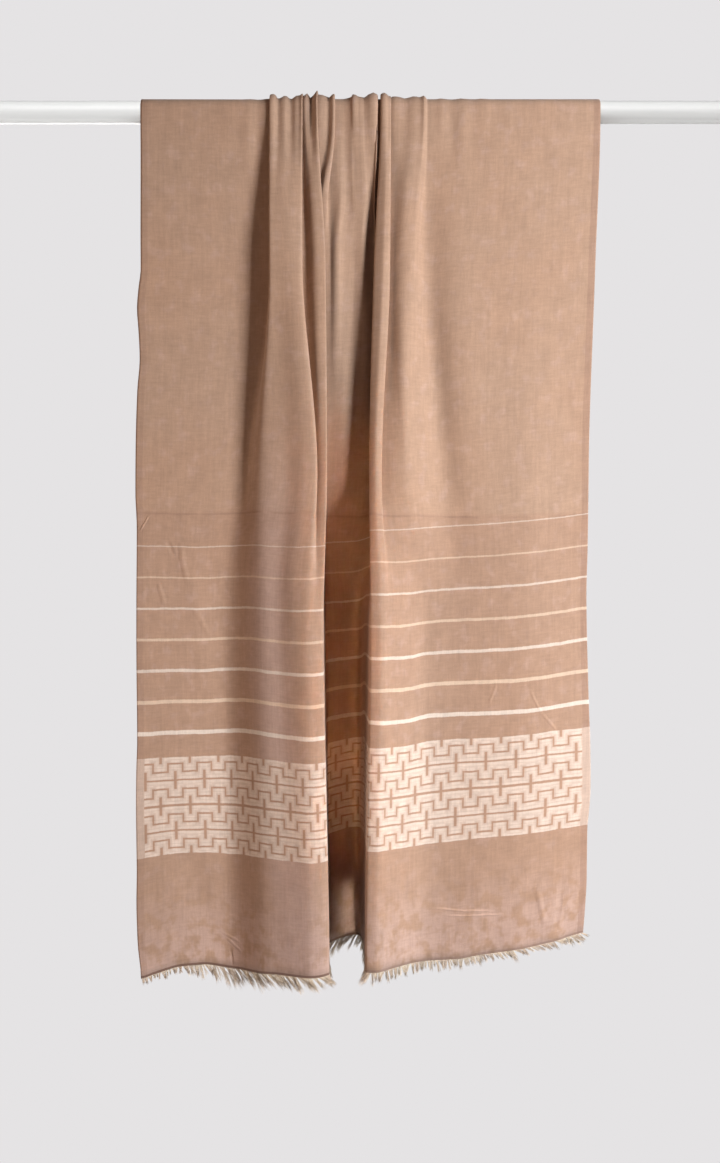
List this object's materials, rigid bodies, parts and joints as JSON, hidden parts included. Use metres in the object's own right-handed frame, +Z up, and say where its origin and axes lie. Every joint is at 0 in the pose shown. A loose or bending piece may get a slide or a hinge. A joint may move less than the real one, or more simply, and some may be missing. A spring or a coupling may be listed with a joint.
{
  "type": "wool shawl on a hanging rod",
  "caption": "Long fringed wool shawl with striped and fretted ends, folded over a level round rod, gathered at the middle, with two flat wings and a deep recess between them.",
  "frame": {"origin": "centre of the round rod, half way along it, where the rod is held", "axes": "+X along the rod to the right as seen from the front, -Y towards the viewer at the front, +Z up"},
  "size_m": [0.92, 0.1545, 1.051],
  "materials": {
    "rod_paint": "smooth white paint, satin",
    "shawl_wool": "fine soft wool twill, dusty mauve brown with cream stripes and a cream and tan fret band",
    "fringe_yarn": "short soft cream wool yarn"
  },
  "bodies": {
    "root": {"hanging_rod": "rod_paint", "shawl_over_rod": "shawl_wool", "front_left": "shawl_wool", "front_middle": "shawl_wool", "front_right": "shawl_wool", "back_left": "shawl_wool", "back_middle": "shawl_wool", "back_right": "shawl_wool", "front_fringe_left": "fringe_yarn", "front_fringe_middle": "fringe_yarn", "front_fringe_right": "fringe_yarn", "back_fringe_left": "fringe_yarn", "back_fringe_middle": "fringe_yarn", "back_fringe_right": "fringe_yarn"}
  },
  "joints": []
}
